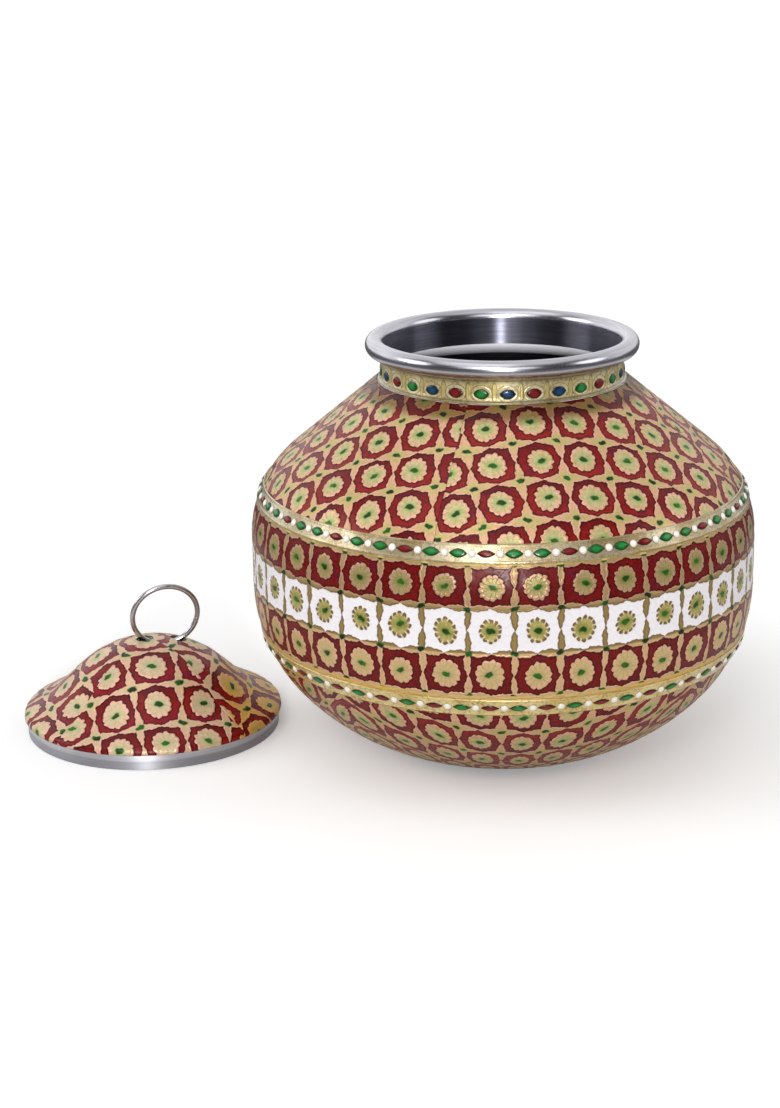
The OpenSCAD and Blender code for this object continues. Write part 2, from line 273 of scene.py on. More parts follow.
def cells(u, v, form, white=0.0, low=0.0):
    """Distances of the foil's pattern, in cells; whole numbers are the corners with the green dots."""
    u = u + 0.012 * sine(8.3 * v + 2.9 * u) + 0.008 * sine(31.0 * v - 17.0 * u) + 0.005 * sine(57.0 * v + 9.0 * u)
    v = v + 0.012 * sine(7.1 * u - 3.7 * v) + 0.008 * sine(29.0 * u + 13.0 * v) + 0.005 * sine(61.0 * u - 8.0 * v)
    iu, iv = calc("FLOOR", u), calc("FLOOR", v)
    x, y = u - iu - 0.5, v - iv - 0.5
    ex, ey = 0.5 - calc("ABSOLUTE", x), 0.5 - calc("ABSOLUTE", y)
    wide, swell, radius = form
    uneven = 1.0 + 0.14 * sine(2.3 * u + 1.7 * v)
    along, across = (0.018 + uneven * (0.5 - e) * (wide + swell * e) for e in (ey, ex))
    star = calc("MAXIMUM", along - ex, across - ey)
    px = x - 0.022 * sine(2.7 * iu + 5.1 * iv)
    py = y - 0.022 * sine(4.3 * iu - 3.9 * iv + 1.0)
    r, th = size_of(1.06 * px, 0.95 * py), calc("ARCTAN2", py, px)
    radius = (radius - 0.02 * white + 0.025 * low) * (1.0 + 0.06 * sine(1.9 * iu + 2.3 * iv))
    fan = calc("ABSOLUTE", calc("COSINE", 6.0 * th + sine(3.1 * iu + 1.7 * iv)))
    rosette = radius * (0.92 + 0.11 * fan) - r
    petal = fan * r
    qx = px - 0.02 * sine(5.9 * iu + 1.3 * iv)
    qy = py - 0.016 * sine(3.7 * iu + 6.1 * iv)
    tilt = 0.35 * sine(2.9 * iu + 4.9 * iv)
    heart = size_of(0.82 * qx + tilt * qy, 1.12 * qy)
    cu, cv = calc("FLOOR", u + 0.5), calc("FLOOR", v + 0.5)
    kx, ky = u - cu - 0.018 * sine(4.1 * cu + 2.2 * cv), v - cv - 0.018 * sine(2.3 * cu - 5.2 * cv)
    slant = 0.4 * sine(3.3 * cu + 4.7 * cv)
    corner = size_of(0.8 * kx + slant * ky, 1.1 * ky)
    return {"star": star, "rosette": rosette, "petal": petal, "fan": fan, "heart": heart, "corner": corner,
            "r": r, "y": y}


def cell_depth(u, v, form=POT_FORM, white=0.0, low=0.0):
    """Depth below the foil's top, in millimetres: enamel lies in its cells, leaves and rosettes stand up round."""
    c = cells(u, v, form, white, low)
    gilt = np.maximum(ramp(c["star"], -0.02, 0.05), ramp(c["rosette"], -0.02, 0.06))
    dots = ramp(c["heart"], 0.1, 0.03) + ramp(c["corner"], 0.1, 0.03)
    hollow = ramp(c["r"], 0.2, 0.05) * 0.05
    return 0.26 - 0.2 * gilt + hollow - 0.06 * np.minimum(dots, 1)


def belly_depth(u, v):
    white = ramp(v, -0.01, 0.01) * ramp(v, 1.01, 0.99)
    plain = np.maximum(ramp(v, -0.97, -1.0), ramp(v, 1.98, 2.0))
    return cell_depth(u, v, BELLY_FORM, white, ramp(v, 0.02, -0.02)) * (1 - plain) + 0.06 * plain


def lid_depth(u, v):
    return cell_depth(u, v, LID_FORM)


def neck_marks(u, v):
    """Neck band: 1 on the oval frame round a gem, below 1 in the leaf between gems, and the way from the gem."""
    x = NECK_CELL * calc("ABSOLUTE", u - calc("FLOOR", u + 0.5))
    oval = size_of(x * (1 / 4.3), (v + GEM_DROP) * (1 / 3.3))
    leaf = size_of((x - NECK_CELL / 2) * (1 / 1.3), (v + 0.5) * (1 / 4.6))
    return oval, leaf, x


def srgb(r, g, b):
    """A colour as it is read off a screen, as the linear value that nodes take."""
    return tuple((c / 255 / 12.92 if c <= 10 else ((c / 255 + 0.055) / 1.055) ** 2.4) for c in (r, g, b)) + (1.0,)


def material(name):
    mat = bpy.data.materials.new(name)
    mat.use_nodes = True
    return mat, mat.node_tree, mat.node_tree.nodes["Principled BSDF"]


def mix(tree, factor, a, b, blend="MIX"):
    """Colour a where factor is 0 and b where it is 1; each a colour or a socket."""
    node = tree.nodes.new("ShaderNodeMix")
    node.data_type, node.blend_type = "RGBA", blend
    put(node.inputs[0], factor)
    for socket, value in ((node.inputs[6], a), (node.inputs[7], b)):
        if isinstance(value, bpy.types.NodeSocket):
            tree.links.new(value, socket)
        else:
            socket.default_value = value
    return node.outputs[2]


def noise(tree, vector, scale, detail=2.0):
    node = tree.nodes.new("ShaderNodeTexNoise")
    node.inputs["Scale"].default_value = scale
    node.inputs["Detail"].default_value = detail
    tree.links.new(vector, node.inputs["Vector"])
    return Field(tree, node.outputs["Fac"])


def flat_uv(tree):
    """The sheet's own map, as a socket and as u, v."""
    node = tree.nodes.new("ShaderNodeUVMap")
    node.uv_map = "flat"
    split = tree.nodes.new("ShaderNodeSeparateXYZ")
    tree.links.new(node.outputs[0], split.inputs[0])
    return node.outputs[0], Field(tree, split.outputs[0]), Field(tree, split.outputs[1])


def position(tree):
    """Object coordinates in metres, as a socket and as x, y, z."""
    node = tree.nodes.new("ShaderNodeTexCoord")
    split = tree.nodes.new("ShaderNodeSeparateXYZ")
    tree.links.new(node.outputs["Object"], split.inputs[0])
    return node.outputs["Object"], *(Field(tree, split.outputs[k]) for k in range(3))


def bump(tree, bsdf, height, distance, strength):
    node = tree.nodes.new("ShaderNodeBump")
    node.inputs["Distance"].default_value = distance
    node.inputs["Strength"].default_value = strength
    put(node.inputs["Height"], height)
    tree.links.new(node.outputs[0], bsdf.inputs["Normal"])


def foil_material(name, form):
    """Enamelled gilt foil, with painted shade in the corner under the neck. The belly's has a white row of cells
    and patches of deeper gold at its lower edge; the lid's has a painted reflection of the pot's warm gold where it
    faces the pot."""
    mat, tree, bsdf = material(name)
    uv, u, v = flat_uv(tree)
    belly, white, low = form == BELLY_FORM, 0.0, 0.0
    if belly:
        white, low = ramp(v, -0.01, 0.01) * ramp(v, 1.01, 0.99), ramp(v, 0.02, -0.02)
    c = cells(u, v, form, white, low)
    tone, shade, fine, grain = (noise(tree, uv, s, d) for s, d in ((1.3, 1), (2.6, 2), (9.0, 3), (42.0, 2)))
    rough_edge = 0.06 * (fine - 0.5)
    leaf, leaf_in = ramp(c["star"] + 0.2 * rough_edge, 0.0, 0.018), ramp(c["star"], 0.03, 0.055)
    ros, ros_in = ramp(c["rosette"] + 0.3 * rough_edge, 0.0, 0.018), ramp(c["rosette"] + rough_edge, 0.05, 0.1)
    petal = ramp(c["petal"], 0.05, 0.012) * ramp(c["r"], 0.11, 0.16)
    heart, halo = ramp(c["heart"] + rough_edge, 0.098, 0.056), ramp(c["heart"], 0.18, 0.09)
    spot = 0.1 if form == LID_FORM else 0.085
    corner = ramp(c["corner"] + rough_edge, spot, 0.6 * spot)

    red = mix(tree, ramp(tone, 0.42, 0.6), srgb(116, 8, 10), srgb(136, 14, 14))
    if belly:
        red = mix(tree, 0.5, red, srgb(86, 2, 4))
    else:
        bright = srgb(140, 14, 38) if form == LID_FORM else srgb(150, 28, 26)
        red = mix(tree, ramp(c["y"] + 0.4 * (shade - 0.5), 0.05, 0.4) * 0.75, red, bright)
        red = mix(tree, ramp(c["y"], -0.15, -0.45) * 0.7, red, srgb(80, 0, 12))
    red = mix(tree, ramp(shade, 0.56, 0.7) * 0.7, red, srgb(96, 8, 40))
    red = mix(tree, ramp(fine, 0.5, 0.7) * 0.6, red, srgb(66, 0, 2))
    red = mix(tree, ramp(grain, 0.56, 0.7) * 0.35, red, srgb(170, 66, 48))
    near = calc("MAXIMUM", ramp(c["star"], -0.045, -0.005), ramp(c["rosette"], -0.045, -0.005))
    red = mix(tree, near * 0.85, red, srgb(34, 2, 2))
    peach = mix(tree, ramp(tone, 0.4, 0.62), srgb(234, 180, 154), srgb(222, 176, 136))
    peach = mix(tree, ramp(fine, 0.52, 0.7) * 0.5, peach, srgb(180, 128, 80))
    leaf_fill = mix(tree, ramp(c["corner"], 0.32, 0.14), srgb(220, 170, 138), srgb(196, 178, 118))
    leaf_rim = peach
    ros_fill = mix(tree, ramp(fine, 0.4, 0.65), srgb(208, 192, 146), srgb(186, 178, 120))
    ros_rim, field, ink = peach, red, 0.3
    if belly:
        field = mix(tree, white, red, srgb(240, 238, 245))
        ros_fill = mix(tree, 0.6, ros_fill, srgb(190, 182, 118))
        on_white = mix(tree, ramp(fine, 0.38, 0.62), srgb(178, 164, 92), srgb(196, 186, 116))
        ros_fill = mix(tree, white, ros_fill, on_white)
        leaf_fill = mix(tree, 0.5, leaf_fill, srgb(186, 160, 116))
        leaf_fill = mix(tree, white, leaf_fill, srgb(154, 134, 82))
        leaf_rim = mix(tree, white * 0.9, peach, srgb(116, 96, 54))
        tips = mix(tree, ramp(c["fan"], 0.3, 0.65), srgb(236, 228, 208), srgb(126, 100, 52))
        ros_rim = mix(tree, white, peach, tips)
        ink = 0.75 - 0.5 * white
    ros_colour = mix(tree, ros_in, ros_rim, ros_fill)
    ros_colour = mix(tree, petal * ink, ros_colour, srgb(124, 92, 46))
    ros_colour = mix(tree, halo * 0.5, ros_colour, srgb(118, 128, 58) if belly else srgb(134, 174, 92))
    ros_colour = mix(tree, heart, ros_colour, mix(tree, ramp(shade, 0.4, 0.6), srgb(20, 64, 8), srgb(44, 102, 22)))
    leaf_colour = mix(tree, leaf_in, leaf_rim, leaf_fill)
    colour = mix(tree, ros, field, ros_colour)
    colour = mix(tree, leaf, colour, leaf_colour)
    colour = mix(tree, corner, colour, mix(tree, ramp(shade, 0.4, 0.6), srgb(8, 40, 8), srgb(26, 88, 26)))
    gilt = calc("MAXIMUM", leaf, ros)
    if belly:
        plain = calc("MAXIMUM", ramp(v, -0.985, -1.0), ramp(v, 1.985, 2.0))
        plain_fill = mix(tree, ramp(fine, 0.35, 0.65), srgb(214, 192, 122), srgb(198, 172, 98))
        patch = ramp(sine(0.9 * u + 4.81), -0.2, 0.9) * low
        plain_fill = mix(tree, patch * 0.8, plain_fill, srgb(212, 174, 66))
        colour = mix(tree, plain, colour, plain_fill)
        gilt = calc("MAXIMUM", gilt, plain)
    dot = calc("MAXIMUM", heart, corner)
    metal = gilt - calc("MINIMUM", gilt, dot)
    colour = mix(tree, metal * ramp(grain, 0.54, 0.68) * (0.55 if belly else 0.35), colour, srgb(132, 94, 52))
    if belly:
        colour = mix(tree, metal * ramp(v, 0.98, 1.02) * 0.35, colour, srgb(124, 96, 62))
        colour = mix(tree, metal * low * 0.4, colour, srgb(226, 186, 142))
    if form == POT_FORM:
        # Painted shade: the foil darkens in the corner under the neck, all round
        z = position(tree)[3]
        colour = mix(tree, ramp(z, *UNDER_NECK_PAINTED_SHADE), colour, (0.42, 0.34, 0.24, 1), "MULTIPLY")
    if form == LID_FORM:
        colour = mix(tree, metal * 0.3, colour, srgb(236, 200, 186))
        x, y = position(tree)[1:3]
        x, y = x - LID_AXIS[0], y - LID_AXIS[1]
        # Painted reflection: the side of the lid that faces the pot is tinted warm gold, as if it mirrored the
        # pot's gold
        painted_pot_reflection = ramp(x - 0.47 * size_of(x, y), 0.0155, 0.0205)
        colour = mix(tree, painted_pot_reflection, colour, (1.0, 0.8, 0.32, 1), "MULTIPLY")
    tree.links.new(colour, bsdf.inputs["Base Color"])
    put(bsdf.inputs["Metallic"], metal * 0.35)
    put(bsdf.inputs["Roughness"], 0.26 + 0.06 * metal + 0.14 * ramp(fine, 0.4, 0.8))
    bsdf.inputs["Specular IOR Level"].default_value = 0.22
    rims = leaf - leaf_in + ros - ros_in
    bump(tree, bsdf, rims * 0.7 + metal * grain * 0.5 + fine * 0.15 - petal * 0.5 + dot * 0.5, 0.00025, 0.8)
    return mat


def gilt_material(name, pale, deep, neck=False):
    """Stippled gilt sheet for the tapes and the neck band, with painted shade at the band's edges; v is millimetres
    across.
    """
    mat, tree, bsdf = material(name)
    where = position(tree)[0]
    wide, fine, spots = noise(tree, where, 90.0), noise(tree, where, 1500.0, 1.0), noise(tree, where, 640.0)
    colour = mix(tree, ramp(wide, 0.35, 0.65), pale, deep)
    colour = mix(tree, ramp(fine, 0.58, 0.7) * 0.45, colour, srgb(130, 104, 50))
    colour = mix(tree, ramp(spots, 0.52, 0.64) * 0.6, colour, srgb(138, 114, 62))
    colour = mix(tree, ramp(fine, 0.42, 0.3) * 0.35, colour, srgb(242, 230, 186))
    if neck:
        u, v = flat_uv(tree)[1:]
        frame_line, leaf = neck_marks(u, v)[:2]
        line = ramp(calc("ABSOLUTE", frame_line - 1.22), 0.1, 0.03)
        line = calc("MAXIMUM", line, ramp(calc("ABSOLUTE", leaf - 1.0), 0.2, 0.08))
        line = calc("MAXIMUM", line, ramp(calc("ABSOLUTE", calc("ABSOLUTE", v) - 5.0), 0.35, 0.15))
        colour = mix(tree, ramp(leaf, 1.0, 0.8), colour, srgb(206, 190, 120))
        colour = mix(tree, line * 0.55, colour, srgb(112, 88, 40))
        # Painted shade at the band's edges: the rim's shadow along its top, and shade in the neck's turn along its
        # foot
        for inner, outer, share in ((2.6, 6.2, 0.75), (-3.4, -5.4, 0.5)):
            colour = mix(tree, ramp(v, inner, outer) * share, colour, srgb(84, 62, 30))
    tree.links.new(colour, bsdf.inputs["Base Color"])
    bsdf.inputs["Metallic"].default_value = 0.5
    put(bsdf.inputs["Roughness"], (0.36 if neck else 0.2) + 0.14 * wide)
    bsdf.inputs["Coat Weight"].default_value = 0.9
    bsdf.inputs["Coat Roughness"].default_value = 0.24
    if neck:
        bsdf.inputs["Anisotropic"].default_value = 0.7
        round_axis(tree, bsdf)
    bump(tree, bsdf, fine, 0.00012, 0.6)
    return mat


def enamel_material(name, middle, edge):
    """Glossy enamel drop: lighter in the middle as a painted highlight, darker at its edge."""
    mat, tree, bsdf = material(name)
    k = flat_uv(tree)[1]
    cloud = noise(tree, position(tree)[0], 420.0)
    # Painted highlight: the drop's colour lightens towards its middle
    colour = mix(tree, ramp(k + 0.35 * cloud, 0.45, 1.05), middle, edge)
    tree.links.new(colour, bsdf.inputs["Base Color"])
    put(bsdf.inputs["Roughness"], 0.12 + 0.16 * cloud)
    bsdf.inputs["Specular IOR Level"].default_value = 0.4
    bump(tree, bsdf, cloud, 0.0002, 0.4)
    return mat


def round_axis(tree, bsdf):
    """Brushed round the upright axis, so highlights draw out up and down."""
    bsdf.inputs["Anisotropic Rotation"].default_value = 0.25
    tangent = tree.nodes.new("ShaderNodeTangent")
    tangent.direction_type, tangent.axis = "RADIAL", "Z"
    tree.links.new(tangent.outputs[0], bsdf.inputs["Tangent"])


def steel_material(name, tint, dark, rough, lines, brushed, centre=(0.0, 0.0), bright_above=None, dark_below=None):
    """Spun sheet with fine turning lines round its axis, cloudy wipe marks and small scratches. It can be whitened
    above a height as a painted highlight, and darkened below one as a painted dark reflection.
    """
    mat, tree, bsdf = material(name)
    where, x, y, z = position(tree)
    x, y = x - centre[0], y - centre[1]
    r = size_of(x, y)
    ring = tree.nodes.new("ShaderNodeCombineXYZ")
    for socket, value in zip(ring.inputs, (r * 1.0, calc("ARCTAN2", y, x) * 0.004, z * 1.0)):
        put(socket, value)
    turned, cloud = noise(tree, ring.outputs[0], lines, 3.0), noise(tree, where, 45.0, 3.0)
    scratch = ramp(noise(tree, where, 260.0, 6.0), 0.6, 0.72)
    colour = mix(tree, ramp(turned, 0.35, 0.65) * 0.6, tint, dark)
    roughness = rough + 0.1 * cloud + 0.08 * turned + 0.06 * scratch
    bsdf.inputs["Metallic"].default_value = 1.0
    if bright_above is not None:
        # Painted highlight: the bare ledge above this height is whitened and made less metallic
        bright = ramp(z, bright_above - 0.0005, bright_above + 0.0005)
        colour = mix(tree, bright, colour, srgb(244, 244, 250))
        put(bsdf.inputs["Metallic"], 1.0 - 0.9 * bright)
        roughness = roughness + 0.15 * bright
    if dark_below is not None:
        # Painted dark reflection: the lid's hem is darkened below this height
        colour = mix(tree, ramp(z, dark_below + 0.0008, dark_below - 0.0008) * 0.55, colour, srgb(130, 129, 136))
    tree.links.new(colour, bsdf.inputs["Base Color"])
    put(bsdf.inputs["Roughness"], roughness)
    bsdf.inputs["Anisotropic"].default_value = brushed
    round_axis(tree, bsdf)
    bump(tree, bsdf, turned + 0.2 * scratch, 0.00003, 0.5)
    return mat


red_foil = foil_material("red_foil", POT_FORM)
lid_foil = foil_material("lid_foil", LID_FORM)
belly_foil = foil_material("belly_foil", BELLY_FORM)
neck_gilt = gilt_material("neck_gilt", srgb(232, 222, 180), srgb(206, 190, 132), neck=True)
tape_gilt = gilt_material("tape_gilt", srgb(194, 180, 146), srgb(162, 141, 95))
low_gilt = gilt_material("low_gilt", srgb(232, 212, 146), srgb(212, 184, 104))
enamels = {
    "green": enamel_material("green_enamel", srgb(38, 130, 58), srgb(8, 70, 24)),
    "red": enamel_material("red_enamel", srgb(130, 24, 27), srgb(68, 8, 12)),
    "blue": enamel_material("blue_enamel", srgb(26, 68, 106), srgb(6, 30, 52)),
    "white": enamel_material("white_enamel", srgb(246, 244, 240), srgb(230, 226, 218)),
}
rim_steel = steel_material("rim_steel", srgb(200, 199, 206), srgb(178, 177, 186), 0.14, 900.0, 0.3)
# Painted shade: the neck's inner wall is the rim's steel, darkened so the inside of the neck reads dark
wall_steel = steel_material("wall_steel", srgb(122, 122, 136), srgb(97, 97, 111), 0.25, 900.0, 1.0)
bowl_steel = steel_material("bowl_steel", srgb(130, 131, 136), srgb(100, 101, 108), 0.24, 700.0, 0.75)
shoulder_steel = steel_material("shoulder_steel", srgb(110, 111, 118), srgb(86, 87, 94), 0.24, 700.0, 0.75,
                                bright_above=LEDGE_PAINTED_HIGHLIGHT)
lid_steel = steel_material("lid_steel", srgb(216, 215, 220), srgb(190, 190, 196), 0.3, 900.0, 0.75, LID_AXIS,
                           dark_below=HEM_PAINTED_REFLECTION)
wire_steel = steel_material("wire_steel", srgb(200, 198, 202), srgb(166, 164, 170), 0.1, 1200.0, 0.3, LID_AXIS)


def dress(obj, mats, body, slot, *nodes):
    for m in mats:
        obj.data.materials.append(m)
    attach(obj, body)
    if nodes:
        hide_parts(*nodes)


def gap_deg(r):
    """Angle of the gap at a seam."""
    return math.degrees(SEAM / r)


def lattice(x, y, pitch, lean):
    """Cell coordinates of a flat sheet: millimetres to cells, turned by lean degrees."""
    c, d = turn(lean)
    return (x * c - y * d) / pitch[0], (x * d + y * c) / pitch[1]


# Foils of the shoulder: flat sheets rolled into a cone, each with its own lattice of rosettes
SLANT = (NECK_TURN_C[0] - NECK_TURN_R * turn(CONE_TURN)[0] + JOINT * turn(SLOPE)[0]) / turn(SLOPE)[0]
SHOULDER_NAMES = ["front_right", "back_right", "back_left", "front_left"]
# For each: a rosette's place on the flat sheet, the pitch, the lean and the angle the sheet is flattened about
SHOULDER_CELLS = [
    (-7.7, 92.65, 21.39, 10.1, 0),
    (-4.0, 88.0, 21.3, 4.0, 90),
    (-9.0, 90.5, 21.3, -6.0, 180),
    (-38.6, 91.05, 21.1, -5.1, 360),
]
for k, (x0, y0, pitch, lean, middle) in enumerate(SHOULDER_CELLS):

    def on_cone(run, total, phi, x0=x0, y0=y0, pitch=pitch, lean=lean, middle=middle):
        a, s = np.radians((phi - middle) * turn(SLOPE)[0]), SLANT + total - run
        u, v = lattice(s * np.sin(a) - x0, s * np.cos(a) - y0, (pitch, pitch), lean)
        return u + 0.5, v + 0.5

    half = gap_deg(BELLY_R) / 2
    start = SHOULDER_SEAM + QUARTER * k
    span = (start + half, start + QUARTER - half)
    side = SHOULDER_NAMES[k]
    foil = sheet_mesh("foil_shoulder_" + side, SHOULDER_LINE, FOIL_STEP, span, on_cone, FOIL, cell_depth)
    dress(foil, [red_foil], "pot", "red_foil", "shoulder_foil_" + side)

# Foils of the base: the rows of cells sag in the middle of each foil
BASE_TOP = BELLY_LOW - FLANK_R * math.radians(LOWER_TURN)
for k, side in enumerate(["front", "right", "back", "left"]):
    start = BASE_SEAM + QUARTER * k

    def on_base(run, total, phi, middle=start + QUARTER / 2):
        a = np.radians(phi - middle)
        s = BASE_TOP - (total - run)
        return (phi - middle) / BASE_CELL_DEG + 0.5, (s - 30.3 - 53 * a * a) / BASE_CELL + 0.5

    half = gap_deg(BELLY_R) / 2
    span = (start + half, start + QUARTER - half)
    foil = sheet_mesh("foil_base_" + side, BASE_LINE, FOIL_STEP, span, on_base, FOIL, cell_depth)
    dress(foil, [red_foil], "pot", "red_foil", "base_foil_" + side)

# Strip round the belly
BELLY_BOTTOM = BELLY_LOW - FLANK_R * math.radians(LOWER_TURN) + JOINT


def on_belly(run, total, phi):
    v = (BELLY_BOTTOM + run - 86.3) / BELLY_CELL
    return (phi - 2.6) * BELLY_COUNT / 360, v + 0.11 * np.maximum(v - 1, 0) + 0 * phi


half = gap_deg(BELLY_R) / 2
whole = (-180 + half, 180 - half)
strip = sheet_mesh("foil_belly_strip", BELLY_LINE, STRIP_STEP, whole, on_belly, FOIL, belly_depth)
dress(strip, [belly_foil], "pot", "belly_foil", "belly_strip")


# Tapes and neck band: v is millimetres across, from the middle
def on_tape(run, total, phi):
    return phi / 6, run - total / 2 + 0 * phi


def tape_depth(u, v):
    edge = ramp(np.abs(v), 3.2, 3.6) * ramp(np.abs(v), 4.5, 4.1)
    return 0.14 - 0.14 * edge + 0.02 * np.sin(u * 75) * ramp(np.abs(v), 2.9, 2.5)


def on_neck(run, total, phi):
    return (phi - NECK_FIRST) / NECK_CELL_DEG, run - total / 2 + 0 * phi


def neck_depth(u, v):
    frame_line, leaf, across = neck_marks(u, v)
    veined = ramp(leaf, 1.0, 0.7) * ramp(np.abs(across - NECK_CELL / 2), 0.05, 0.3)
    raised = np.maximum(ramp(np.abs(frame_line - 1), 0.14, 0.05), veined)
    raised = np.maximum(raised, ramp(np.abs(np.abs(v) - 5.8), 0.6, 0.3))
    return 0.16 - 0.16 * raised


for name, line, gilt in (("upper", UPPER_LINE, tape_gilt), ("lower", LOWER_LINE, low_gilt)):
    tape = sheet_mesh("trim_%s_tape" % name, line, TAPE_STEP, whole, on_tape, TAPE, tape_depth)
    dress(tape, [gilt], "pot", "trim_tape", name + "_tape")
half = gap_deg(NECK_R) / 2
whole = (-180 + half, 180 - half)
band = sheet_mesh("foil_neck_band", NECK_LINE, BAND_STEP, whole, on_neck, FOIL, neck_depth)
dress(band, [neck_gilt], "pot", "neck_foil", "neck_band")


def drops(name, items, body, slot):
    """Enamel drops on a skin. Each: outline point, normal, angle, half length, half width, height, tip, colour."""
    names = sorted({it[-1] for it in items})
    verts, faces, uv, which, smooth = [], [], [], [], []
    around, rings = 20, [1.0, 0.9, 0.7, 0.42]
    t = np.arange(around) * 2 * np.pi / around
    for p, n, phi, length, width, height, tip, colour in items:
        a = math.radians(phi)
        out = np.array([n[0] * math.sin(a), -n[0] * math.cos(a), n[1]])
        side = np.array([math.cos(a), math.sin(a), 0])
        up = np.cross(out, side)
        base = np.array([p[0] * math.sin(a), -p[0] * math.cos(a), p[1]])
        shape = np.outer(length * np.cos(t), side) + np.outer(width * np.sin(t) * np.abs(np.sin(t)) ** tip, up)
        first = len(verts)
        for k in rings:
            verts += list(base + shape * k + out * height * math.sqrt(1 - (0.99 * k) ** 2))
            uv += [(k, 0)] * around
        verts.append(base + out * height)
        uv.append((0, 0))
        for k in range(len(rings) - 1):
            lo, hi = first + k * around, first + (k + 1) * around
            for j in range(around):
                m = (j + 1) % around
                faces.append([lo + j, lo + m, hi + m, hi + j])
                smooth.append(True)
        lo, top = first + (len(rings) - 1) * around, len(verts) - 1
        faces += [[lo + j, lo + (j + 1) % around, top] for j in range(around)]
        faces.append([first + j for j in reversed(range(around))])
        smooth += [True] * around + [False]
        which += [names.index(colour)] * (around * len(rings) + 1)
    obj = add_mesh(name, verts, faces, np.array(smooth), uv)
    dress(obj, [enamels[c] for c in names], body, slot)
    obj.data.polygons.foreach_set("material_index", which)


def ring_drops(centre, r, t, count, phase, gems):
    """Gems round a tape, with a white bead between neighbours; each gem is its colour and its half width."""
    n = turn(t)
    p = centre + (r + TAPE - TAPE_SINK) * n
    items = []
    for k in range(count):
        phi = phase + k * 360 / count
        colour, width = gems[k % len(gems)]
        items.append((p, n, phi, GEM_L, width, GEM_H, 1.0, colour))
        items.append((p, n, phi + 180 / count, BEAD_R, BEAD_R, BEAD_H, 0.0, "white"))
    return items


upper_gems = [("red", 1.8), ("green", 2.2), ("green", 2.2)]
lower_gems = [("red", 1.6), ("green", 1.8)]
upper = ring_drops(SHOULDER_C, SHOULDER_R, UPPER_TURN, 60, -3.4, upper_gems)
lower = ring_drops(FLANK_C, FLANK_R, -LOWER_TURN, 58, -2.6, lower_gems)
drops("upper_tape_drops", upper, "pot", "trim_tape")
drops("lower_tape_drops", lower, "pot", "trim_tape")
# Gems of the neck band, in the order seen from the front gem to the right and to the left
to_right = ["blue", "red", "blue", "green", "red", "green", "blue", "red", "green"]
to_left = ["green", "red", "blue"]
neck, count = [], 360 // NECK_CELL_DEG
for k in range(count):
    q = k if k < count // 2 else k - count
    colour = to_right[q % len(to_right)] if q >= 0 else to_left[(-q - 1) % len(to_left)]
    p = np.array([NECK_R + FOIL - BAND_SINK, NECK_TURN_C[1] + 0.9])
    neck.append((p, turn(4), NECK_FIRST + NECK_CELL_DEG * k, 3.7, 2.5, 0.7, 0.35, colour))
drops("neck_band_drops", neck, "pot", "neck_foil")

# Neck ring: a straight wall with turning lines inside, its lip rolled outward into a polished curl
curl_c = np.array([NECK_R - SHEET + CURL_R, NECK_TURN_C[1] + NECK_H])
rise = np.linspace(NECK_TURN_C[1], curl_c[1], 15)
roll = np.linspace(180, CURL_DROP_TURN - 180, 94)
wall_in = [(NECK_R - SHEET, z) for z in rise]
curl_out = [curl_c + CURL_R * turn(t) for t in roll[1:]]
curl_in = [curl_c + (CURL_R - SHEET) * turn(t) for t in roll[::-3]]
wall_out = [(NECK_R, z) for z in rise[-2::-1]]
section = np.array(wall_in + curl_out + curl_in + wall_out)
count, around = len(section), 240
a = np.arange(around) * 2 * np.pi / around
r, z = section[:, :1], section[:, 1:]
verts = np.stack([r * np.sin(a), -r * np.cos(a), z + 0 * a], -1).reshape(-1, 3)
ids = np.arange(count * around).reshape(count, around)
above, beside = np.roll(ids, -1, 0), np.roll(ids, -1, 1)
faces = np.stack([ids, beside, np.roll(above, -1, 1), above], -1).reshape(-1, 4).tolist()
neck_ring = add_mesh("spun_neck_ring", verts, faces)
shape = bmesh.new()
shape.from_mesh(neck_ring.data)
bmesh.ops.recalc_face_normals(shape, faces=shape.faces)
shape.to_mesh(neck_ring.data)
shape.free()
neck_ring.data.set_sharp_from_angle(angle=math.radians(40))
dress(neck_ring, [rim_steel, wall_steel], "pot", "steel", "neck_ring")
is_wall = np.repeat(np.arange(count) < len(wall_in), around)
neck_ring.data.polygons.foreach_set("material_index", is_wall.astype(np.int32))

# Foils of the lid, with the two holes of the ring cut through them; the ring leans, so its holes do too
cutters = []
on_crown = Matrix.Translation((LID_X, LID_Y, CROWN_C[1]))
for angle, axis in HOLE_TURNS:
    on_crown = on_crown @ Matrix.Rotation(math.radians(angle), 4, axis)
for side in (-1, 1):
    around = 48
    circle = np.arange(around) * math.pi / (around / 2)
    ring = [(side * HOLE_OUT + HOLE_R * math.cos(a), HOLE_R * math.sin(a)) for a in circle]
    verts = [on_crown @ Vector((x, y, z)) for z in (40, 70) for x, y in ring]
    faces = [[j, (j + 1) % around, around + (j + 1) % around, around + j] for j in range(around)]
    ends = [list(range(around - 1, -1, -1)), list(range(around, 2 * around))]
    cutters.append(add_mesh("hole_%d" % side, verts, faces + ends))
